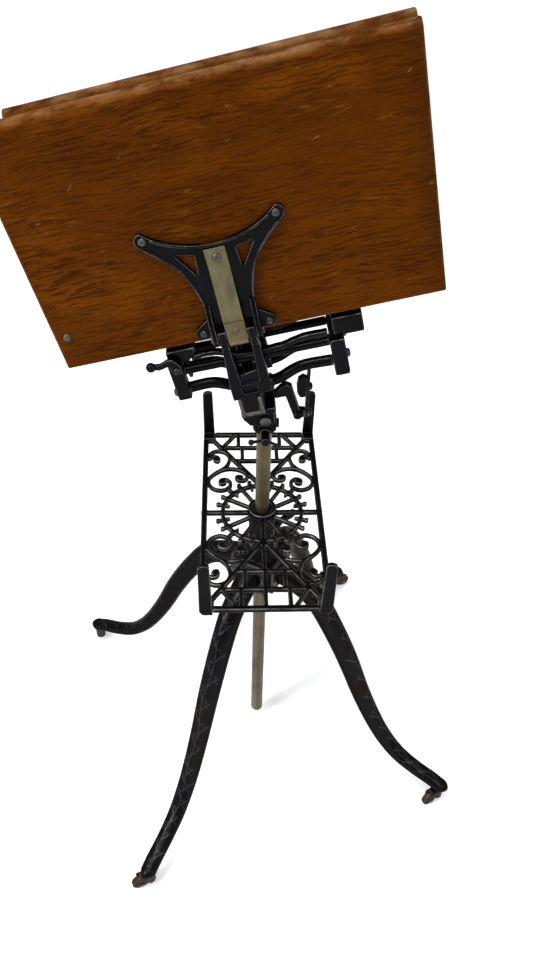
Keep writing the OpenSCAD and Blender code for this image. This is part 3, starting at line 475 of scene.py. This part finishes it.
def board_mesh(name, low, high, bull, seed, step):
    """A board with arrises lightened by wear, scratches, spots and darker patches; the top arris is also
    lightened as a painted highlight, and a band below it is painted shade.
    """
    draw = random.Random(seed)
    x0, y0, z0 = low
    x1, y1, z1 = high
    mesh = board_shell(name, low, high, bull, step)
    span_x, span_z = x1 - x0, z1 - z0
    # each scratch: its start, direction, length, depth, and whether it is in front
    scratches = []
    for _ in range(44):
        sx, sz = x0 + span_x * draw.random(), z0 + span_z * draw.random()
        a = draw.uniform(0, math.pi) if draw.random() < 0.5 else draw.gauss(0, 0.3)
        size = draw.uniform(0.0012, 0.0046) * (1 if draw.random() < 0.85 else 2.5)
        scratches.append((sx, sz, math.cos(a), math.sin(a), size, draw.uniform(0.2, 0.8),
                          draw.random() < 0.62))
    spots = [(x0 + span_x * draw.random(), z0 + span_z * draw.random(),
              draw.uniform(0.0012, 0.0030), draw.uniform(0.5, 1.0)) for _ in range(16)]
    blots = [(x0 + span_x * draw.random(), z0 + span_z * draw.random(),
              draw.uniform(0.010, 0.035), draw.uniform(0.10, 0.30)) for _ in range(9)]
    co, normals = points_of(mesh)
    x, y, z = co.T
    # noise in patches of about 17, 70 and 4 mm across
    n1 = noise_at(co * (60, 200, 60))
    n2 = noise_at(co * (14, 30, 14) + (3, 0, 0))
    n3 = noise_at(co * (230, 420, 420))
    top = near(z1 - z, WORN_AND_LIT_TOP)
    rim = np.maximum.reduce([near(x - x0, WORN_SIDE), near(x1 - x, WORN_SIDE),
                             near(z - z0, WORN_FOOT)])
    # painted highlight: the top edge is lightened as wear and as a painted highlight on the rounded top;
    # the ends and foot only as wear
    pale_wear_and_highlight = np.maximum(top * (0.36 + 0.7 * n1 + 0.4 * n2 + 0.35 * n3),
                      rim * (0.42 + 0.6 * n1 + 0.6 * n3))
    darkening_and_shade = near(x1 - x, 0.030) * 0.46 + np.maximum(0, 0.30 * n2 - 0.04)
    # painted shade: a dark band about 12 mm below the top edge, where the rounded top turns away from the
    # light
    darkening_and_shade += near(np.abs(z1 - z - 0.012), 0.006) * np.maximum(0, 0.35 + 0.5 * n1)
    line = np.zeros(len(co))
    in_front = y < (y0 + y1) / 2
    for sx, sz, ca, sa, size, power, front in scratches:
        dx, dz = x - sx, z - sz
        along = dx * ca + dz * sa
        off = np.abs(dz * ca - dx * sa)
        hit = (along > 0) & (along < size) & (off < SCRATCH_WIDTH) & (in_front == front)
        mark = power * (1 - off[hit] / SCRATCH_WIDTH) * (0.5 + 0.5 * np.sin(along[hit] / size * np.pi))
        line[hit] = np.maximum(line[hit], mark)
    for marks, flat, tall in ((spots, 1.0, 1.3), (blots, 0.6, 1.0)):
        for sx, sz, size, power in marks:
            darkening_and_shade = np.maximum(darkening_and_shade, power * near(np.hypot((x - sx) * flat, (z - sz) * tall), size))
    paint(mesh, np.stack([pale_wear_and_highlight, darkening_and_shade, line], 1))
    wear = 0.00012 * n2 - 0.00035 * np.maximum(0, rim + top - 0.75) * np.maximum(0, n1)
    move_points(mesh, co + normals * np.minimum(0, wear)[:, None])
    return mesh


def local_box(name, place):
    """A CAD node's lowest and highest corners in another frame."""
    inverse = place.inverted()
    points = [inverse @ v.co for v in nodes[name].data.vertices]
    return (Vector(min(p[i] for p in points) for i in range(3)),
            Vector(max(p[i] for p in points) for i in range(3)))


for side, seed, step in (("front", 11, 0.0014), ("rear", 23, 0.0022)):
    low, high = local_box("board_" + side, TILTED)
    mesh = board_mesh("oak_board_" + side, low, high, (high.y - low.y) / 2, seed, step)
    board = add_object("oak_board_" + side, mesh, TILTED)
    finish_piece(board, "board_" + side, oak, ["board_" + side], 50)

low, high = local_box("book_ledge", TILTED)
ledge = add_object("oak_ledge", board_mesh("oak_ledge", low, high, 0.003, 5, 0.003), TILTED)
finish_piece(ledge, "board_front", oak, ["book_ledge"], 50)

# ---- head and boards' iron ---------------------------------------------------

low_board = local_box("board_front", TILTED)[0]
HOLLOW_R = 0.1038           # the bracket's hollow top edge
HOLLOW_Z = 0.2085           # and its centre's height above the boards' lower edge
RIM_BEHIND_PIN = 0.0062     # how far the rims lie from the hinge pin, towards the board
# one outer edge of the bracket, in millimetres out from its middle and up from the board's edge
BRACKET_EDGE = [(66, 114.5), (49, 98.2), (37.6, 84), (30.6, 68), (25.6, 47), (24.2, 30)]


def bracket_beads(side):
    """Raised rims along the bracket's hollow top and its two outer edges."""
    low, high = local_box("bracket_" + side, TILTED)
    x0, z0 = (low.x + high.x) / 2, low_board.z
    inwards = 1 if side == "front" else -1
    face = joints["board_open_" + side]["pos_m"][1] + inwards * RIM_BEHIND_PIN

    def build(bm):
        arc = [Vector((x0 + HOLLOW_R * math.sin(a), face, z0 + HOLLOW_Z - HOLLOW_R * math.cos(a)))
               for a in np.radians(np.linspace(-34, 34, 40))]
        tube(bm, arc, 0.0021)
        for sign in (-1, 1):
            edge = spline(BRACKET_EDGE, 6)
            tube(bm, [Vector((x0 + sign * p.x * MM, face, z0 + p.y * MM)) for p in edge], 0.0017)
    return build


CLIP_SHEET = 0.0016         # thickness of the clip's sheet
# the clip's bend, in millimetres inwards from its face and up from its foot
CLIP_BEND = [(0.0, 28.0), (0.0, 9.6), (-0.5, 7.6), (-0.95, 5.4), (-0.6, 3.2), (0.6, 1.6),
             (3.0, 0.9), (7.0, 1.0), (11.0, 1.5)]
# the rivet's dome, radius and height in millimetres
RIVET_DOME = [(3.1, -0.2), (3.1, 0.3), (2.9, 0.85), (2.35, 1.35), (1.5, 1.65), (0.5, 1.75)]


def spring_clip(side):
    """A bent clip with a rolled lip at its foot and a domed rivet."""
    low, high = local_box("clip_" + side, TILTED)
    sign = 1 if side == "front" else -1
    face = (low.y if side == "front" else high.y) + sign * CLIP_SHEET
    path = [Vector((0, face + sign * (a + 0.8) * MM, low.z + b * MM)) for a, b in CLIP_BEND]
    bm = bmesh.new()
    rings = []
    for i, p in enumerate(path):
        ahead = (path[min(i + 1, len(path) - 1)] - path[max(i - 1, 0)]).normalized()
        out = Vector((0, ahead.z, -ahead.y)) * (CLIP_SHEET / 2)
        rings.append([bm.verts.new(p + off + Vector((x, 0, 0)))
                      for off, x in ((out, low.x), (out, high.x), (-out, high.x), (-out, low.x))])
    skin(bm, rings)
    bmesh.ops.recalc_face_normals(bm, faces=bm.faces)
    sharp = [e for e in bm.edges if e.calc_face_angle(0) > math.radians(50)]
    bmesh.ops.bevel(bm, geom=sharp, offset=0.0004, segments=2, affect="EDGES", profile=0.5)
    turn = Matrix.Rotation(math.radians(90 * sign), 4, "X")
    lathe(bm, [(r * MM, h * MM) for r, h in RIVET_DOME], 32,
          Matrix.Translation(((low.x + high.x) / 2, face + sign * 0.0001, low.z + 0.018)) @ turn)
    mesh = bpy.data.meshes.new("spring_clip_" + side)
    bm.to_mesh(mesh)
    bm.free()
    clip = add_object("spring_clip_" + side, mesh, TILTED)
    finish_piece(clip, "board_" + side, clip_nickel, ["clip_" + side], 35)


for side, end in (("front", "left"), ("rear", "right")):
    cast("cast_bracket_" + side, "board_" + side, ["bracket_" + side], japan,
         voxel=0.6, smooth=5, place=TILTED, extra=bracket_beads(side))
    machined("leaf_spring_" + side, "board_" + side, ["spring_" + side], strap_nickel,
             0.35, 2, TILTED)
    spring_clip(side)
    machined("wood_screws_" + side, "board_" + side, ["board_screws_" + side], screw_steel,
             0.25, 2, TILTED)
    cast("cast_yoke_" + side, "yoke_" + side, ["yoke_" + side], japan, voxel=0.6, place=TILTED)
    machined("pin_" + side, "yoke_" + side, ["hinge_pin_" + side], screw_steel,
             0.4, 2, TILTED)
    cast("cast_cradle_" + side, "cradle", ["cradle_frame_" + side], japan, place=TILTED)
    cast("cast_end_plate_" + end, "cradle", ["end_plate_" + end], japan, smooth=45,
         place=TILTED, grow=0.1)
    cast("cast_rest_" + end, "cradle", ["spine_rest_" + end], japan, smooth=36,
         place=TILTED, grow=0.2)
cast("cradle_bars", "cradle", ["upper_bars"], japan, place=TILTED)
machined("cradle_bolts", "cradle", ["end_bolts"], japan, 0.5, 2, TILTED)
machined("rail_channel", "cradle", ["slide_channel"], rail_nickel, 1.3, 3, TILTED)
cast("cast_knuckle", "cradle", ["tilt_knuckle"], japan, place=TILTED)
cast("cast_catch_arm", "cradle", ["catch_arm"], japan)
machined("catch_pin_piece", "cradle", ["catch_pin"], japan, 0.5, 2)
cast("catch_strip", "catch", ["catch_link"], japan, voxel=0.5)
cast("catch_hook", "catch", ["catch_pawl"], japan, voxel=0.5)
cast("latch_piece", "latch", ["latch_lever"], japan, voxel=0.45, place=TILTED)
machined("latch_pin_piece", "cradle", ["latch_pin"], japan, 0.4, 2, TILTED)
cast("cast_socket", "head", ["head_socket"], japan)
machined("tilt_pin_piece", "head", ["tilt_pin"], grey_iron, 0.5, 2)
cast("tee_handle", "clamp", ["clamp_handle"], japan, voxel=0.45)
machined("post_rod", "post", ["post"], post_nickel, 0.5, 3)

# ---- shelf -------------------------------------------------------------------

cast("shelf_grille", "shelf", ["book_shelf"], shelf_japan, voxel=0.62, smooth=3, grow=0.4)
machined("shelf_screw", "shelf", ["shelf_set_screw"], screw_steel, 0.3, 2)
for corner in CORNERS:
    cast("cast_lip_" + corner, "shelf", ["shelf_lip_" + corner], shelf_japan)

# ---- base --------------------------------------------------------------------

cast("cast_hub", "base", ["hub"], leg_japan, voxel=1.1)
machined("hub_screws", "base", ["leg_screws"], screw_steel, 0.3, 2)
cast("thumb_screw", "height_screw", ["height_screw"], japan, voxel=0.5)

# a leg's centreline, reach and height, and its section, width and depth, in millimetres
LEG_LINE = [(26, 362), (55, 354), (84, 335), (112, 292), (140, 238), (165, 180),
            (188, 134), (210, 99), (236, 71), (266, 54), (294, 44), (308, 37)]
TOE_ANGLES = np.radians((15, 30, 45, 60, 75, 84))
TOE_END = 12.3              # how far the rounded toe goes on past the line's end
LEG_SECTION = [(33, 34), (31, 31), (30, 30), (29, 29), (28, 28), (26, 26),
               (25, 24), (24, 22), (23, 20), (22, 18), (22, 17), (22, 17)]


def resampled(line, extra, step):
    """The line and what goes with it at even steps along its length."""
    lengths = [0.0]
    for a, b in zip(line, line[1:]):
        lengths.append(lengths[-1] + (b - a).length)
    count = int(lengths[-1] / step)
    s = np.linspace(0, lengths[-1], count)
    line = np.array([tuple(p) for p in line])
    extra = np.array([tuple(p) for p in extra])
    return (s, np.stack([np.interp(s, lengths, line[:, i]) for i in range(2)], 1),
            np.stack([np.interp(s, lengths, extra[:, i]) for i in range(2)], 1))


def vine(length, half, seed):
    """Incised strokes down the top of a leg, as short segments of (s, v) in mm."""
    draw = random.Random(seed)
    # the stem winds down the middle
    strokes = [[(s, 0.16 * half(s) * math.sin(s / 17)) for s in np.arange(6, length - 16, 1.5)]]
    s, sign = 10.0, 1
    while s < length - 24:
        pitch = 19.0 if s < length * 0.6 else 13.0
        w = half(s)
        base = 0.16 * w * math.sin(s / 17)
        reach = draw.uniform(0.86, 1.0)
        # a leaf on one side, with a second line beside it, and a curl on the other
        leaf = []
        for k in range(9):
            t = k / 8
            leaf.append((s - (27 * t - 8 * t * t) * reach + 4 * t ** 3,
                         base + sign * w * 0.80 * reach * math.sin(t * 1.5) ** 1.1))
        strokes.append(leaf)
        bow = [math.sin(k / 8 * math.pi) for k in range(9)]
        strokes.append([(a + 2.4 * q + 0.8, b - sign * 0.9 * q) for q, (a, b) in zip(bow, leaf)])
        curl = [(s + 3 + 2.6 * math.cos(a), base - sign * (w * 0.34 + 2.0 * math.sin(a)))
                for a in np.linspace(0.4, 4.6, 9)]
        strokes.append(curl)
        if draw.random() < 0.8:
            strokes.append([(s + 6 + d, base - sign * (w * 0.25 + 0.45 * w * d / 6))
                            for d in np.linspace(0, 6, 5)])
        s += pitch
        sign = -sign
    # short slanting strokes on both sides of the leg's head
    for k in range(7):
        strokes.append([(4 + 2.1 * k + d * 0.9, -9 + 1.1 * d + 0.2 * k) for d in np.linspace(0, 7, 5)])
        strokes.append([(4 + 2.1 * k + d * 0.9, 9 - 1.1 * d - 0.2 * k) for d in np.linspace(0, 7, 5)])
    return [(a, b) for line in strokes for a, b in zip(line, line[1:])]


def stroke_depth(points, segments, width):
    """How deep the nearest stroke is at each point, from 0 to 1."""
    best = np.full(len(points), 1e9)
    order = np.argsort(points[:, 0])
    sorted_s = points[order, 0]
    for a, b in segments:
        a, b = np.array(a, float), np.array(b, float)
        lo = np.searchsorted(sorted_s, min(a[0], b[0]) - 3 * width)
        hi = np.searchsorted(sorted_s, max(a[0], b[0]) + 3 * width)
        index = order[lo:hi]
        p = points[index]
        d = b - a
        t = np.clip(((p - a) @ d) / max(1e-9, float(d @ d)), 0, 1)
        best[index] = np.minimum(best[index], np.linalg.norm(p - a - t[:, None] * d, axis=1))
    return np.exp(-(best / width) ** 2)


def add_parts(mesh, build):
    """Adds closed shells drawn by build(bm) to a mesh."""
    bm = bmesh.new()
    bm.from_mesh(mesh)
    build(bm)
    bm.to_mesh(mesh)
    bm.free()


def leg_mesh(name, seed, step=0.55, sides=104):
    """A leg in its own frame: +X runs from the hub to the toe."""
    reach, height = LEG_LINE[-1]
    toe = [Vector((reach + TOE_END * math.sin(a), height - 4 * (1 - math.cos(a))))
           for a in TOE_ANGLES]
    line = spline(LEG_LINE, 12) + toe
    section = spline(LEG_SECTION, 12) + [Vector(LEG_SECTION[-1]) * math.cos(a) for a in TOE_ANGLES]
    s, centre, size = resampled(line, section, step)
    tangent = np.gradient(centre, axis=0)
    for _ in range(30):
        tangent[1:-1] = (tangent[:-2] + 2 * tangent[1:-1] + tangent[2:]) / 4
    tangent /= np.linalg.norm(tangent, axis=1)[:, None]

    def half(at):
        """Half the leg's width at a distance along it."""
        return float(np.interp(at, s, size[:, 0])) / 2

    n = len(s)
    angle = np.linspace(0, 2 * np.pi, sides, endpoint=False)
    # the points stand twice as far apart over the top as underneath
    angle = angle + 0.35 * np.sin(angle)
    c, d = np.cos(angle), np.sin(angle)
    power = 2.25            # 2 would be an ellipse; more is squarer
    swell = (np.abs(c) ** power + np.abs(d) ** power) ** (-1 / power)
    out = size[:, 1:2] / 2 * (c * swell)[None, :]
    side = size[:, 0:1] / 2 * (d * swell)[None, :]
    # a soft ridge down the middle of the top and a flat below it on each side
    flat = np.exp(-(np.minimum(angle, 2 * np.pi - angle) - 0.62) ** 2 / 0.05)
    out = out - 0.35 * flat[None, :] * (size[:, 1:2] / 30)
    pts = np.stack([np.repeat(s, sides), side.reshape(-1)], 1)
    top = np.tile(c, n) > 0.12
    depth = np.zeros(n * sides)
    depth[top] = stroke_depth(pts[top], vine(s[-1], half, seed), 0.40)
    depth *= np.clip((np.tile(c, n) - 0.12) / 0.25, 0, 1)
    scale = 1 - (0.42 * depth.reshape(n, sides)) / np.maximum(3, np.hypot(out, side))
    out, side = out * scale, side * scale
    x = centre[:, 0:1] - tangent[:, 1:2] * out
    z = centre[:, 1:2] + tangent[:, 0:1] * out
    co = np.stack([x, side, z], 2).reshape(-1, 3) * MM
    k = np.arange(sides)
    ring = np.arange(n - 1)[:, None] * sides
    faces = np.stack([ring + k, ring + (k + 1) % sides, ring + sides + (k + 1) % sides,
                      ring + sides + k], 2).reshape(-1, 4)
    mesh = bpy.data.meshes.new(name)
    mesh.from_pydata(co.tolist(), [], faces.tolist() + [list(range(sides))[::-1],
                     list(range((n - 1) * sides, n * sides))])
    # the strokes' depth, which leg_japan lightens as dust and as a painted highlight
    paint(mesh, depth[:, None])
    add_parts(mesh, lambda bm: bmesh.ops.recalc_face_normals(bm, faces=bm.faces))
    return mesh


def soft_box(bm, low, high, bevel, segments=3):
    """A block with rounded edges."""
    made = bmesh.ops.create_cube(bm, size=1, matrix=Matrix.LocRotScale(
        (Vector(low) + Vector(high)) / 2, None, Vector(high) - Vector(low)))["verts"]
    edges = list({e for v in made for e in v.link_edges})
    bmesh.ops.bevel(bm, geom=edges, offset=bevel, segments=segments, affect="EDGES", profile=0.5)


FLANGE = ((0.0261, -0.0255, 0.338), (0.032, 0.0255, 0.386))     # a leg's plate against the hub

for number, corner in enumerate(CORNERS):
    pin = joints["swivel_" + corner]["pos_m"]
    turned = Matrix.Rotation(math.atan2(pin[1], pin[0]), 4, "Z")
    mesh = leg_mesh("leg_" + corner, 40 + number)

    def flange_and_boss(bm):
        """The plate that is screwed to the hub, and the boss over the caster's stem."""
        soft_box(bm, *FLANGE, 0.0022)
        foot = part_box("caster_fork_" + corner)[0].z + 0.0022
        lathe(bm, [(0.0068, foot + 0.0001), (0.0075, foot + 0.0008), (0.0075, 0.036), (0.0070, 0.040)],
              40, Matrix.Translation((LEG_LINE[-1][0] * MM, 0, 0)))

    add_parts(mesh, flange_and_boss)
    mesh.transform(turned)
    leg = add_object("cast_leg_" + corner, mesh)
    finish_piece(leg, "base", leg_japan, ["leg_" + corner], 50)
    cast("fork_" + corner, "caster_" + corner, ["caster_fork_" + corner], caster_iron,
         voxel=0.45, smooth=2)
    machined("axle_" + corner, "caster_" + corner, ["caster_axle_" + corner], screw_steel,
             0.3, 2)
    cast("wheel_" + corner, "wheel_" + corner, ["caster_wheel_" + corner], caster_iron,
         voxel=0.45, smooth=2)

# ---- floor, light and camera -------------------------------------------------

FLOOR = 60                  # half the floor's width, so that its edge is far off
floor_mesh = bpy.data.meshes.new("floor")
floor_mesh.from_pydata([(-FLOOR, -FLOOR, 0), (FLOOR, -FLOOR, 0), (FLOOR, FLOOR, 0), (-FLOOR, FLOOR, 0)],
                       [], [(0, 1, 2, 3)])
floor = add_object("floor", floor_mesh)
paper = Shader("paper")
paper.set(Base_Color=paper.mix(paper.noise(3, 2), (0.93, 0.93, 0.93), (0.95, 0.95, 0.945)),
          Roughness=0.9, Specular_IOR_Level=0.1, Emission_Color=(1, 1, 1), Emission_Strength=0.18)
floor_mesh.materials.append(paper.material)

world = bpy.data.worlds.new("studio")
world.use_nodes = True
world.node_tree.nodes["Background"].inputs["Color"].default_value = (1.0, 1.0, 1.0, 1)
world.node_tree.nodes["Background"].inputs["Strength"].default_value = 0.50
scene.world = world


def softbox(name, place, target, size, power, tint=(1, 1, 1)):
    """A rectangular area light that looks at the target."""
    light = bpy.data.lights.new(name, "AREA")
    light.shape = "RECTANGLE"
    light.size, light.size_y = size
    light.energy = power
    light.color = tint
    obj = bpy.data.objects.new(name, light)
    obj.location = place
    obj.rotation_euler = (Vector(target) - Vector(place)).to_track_quat("-Z", "Y").to_euler()
    scene.collection.objects.link(obj)


softbox("overhead", (-0.5, -0.4, 2.7), (0, 0, 0.4), (0.4, 1.1), 34)
softbox("window", (-2.0, -1.3, 1.7), (0, 0, 0.6), (0.45, 1.2), 34, (0.90, 0.95, 1.0))
softbox("strip", (1.7, -1.5, 1.9), (0, 0, 0.6), (0.25, 1.2), 13)
sky = bpy.data.objects.new("sky", bpy.data.lights.new("sky", "SUN"))
sky.data.energy = 1.15
sky.data.angle = math.radians(70)
sky.rotation_euler = (math.radians(8), math.radians(-12), 0)
scene.collection.objects.link(sky)

CAMERA_PLACE = (-0.0399, -0.7723, 1.2141)
CAMERA_AHEAD = Vector((0.0465, 0.7387, -0.6725))
CAMERA_RIGHT = Vector((0.9989, -0.0387, 0.0266))
camera = bpy.data.objects.new("camera", bpy.data.cameras.new("camera"))
back = -CAMERA_AHEAD.normalized()
up = back.cross(CAMERA_RIGHT.normalized()).normalized()
right = up.cross(back).normalized()
turn = Matrix((right, up, back)).transposed().to_4x4()
camera.matrix_world = Matrix.Translation(CAMERA_PLACE) @ turn
camera.data.lens = 31.87
camera.data.sensor_width = 36.0
camera.data.clip_start = 0.01
scene.collection.objects.link(camera)
scene.camera = camera

bpy.context.view_layer.update()
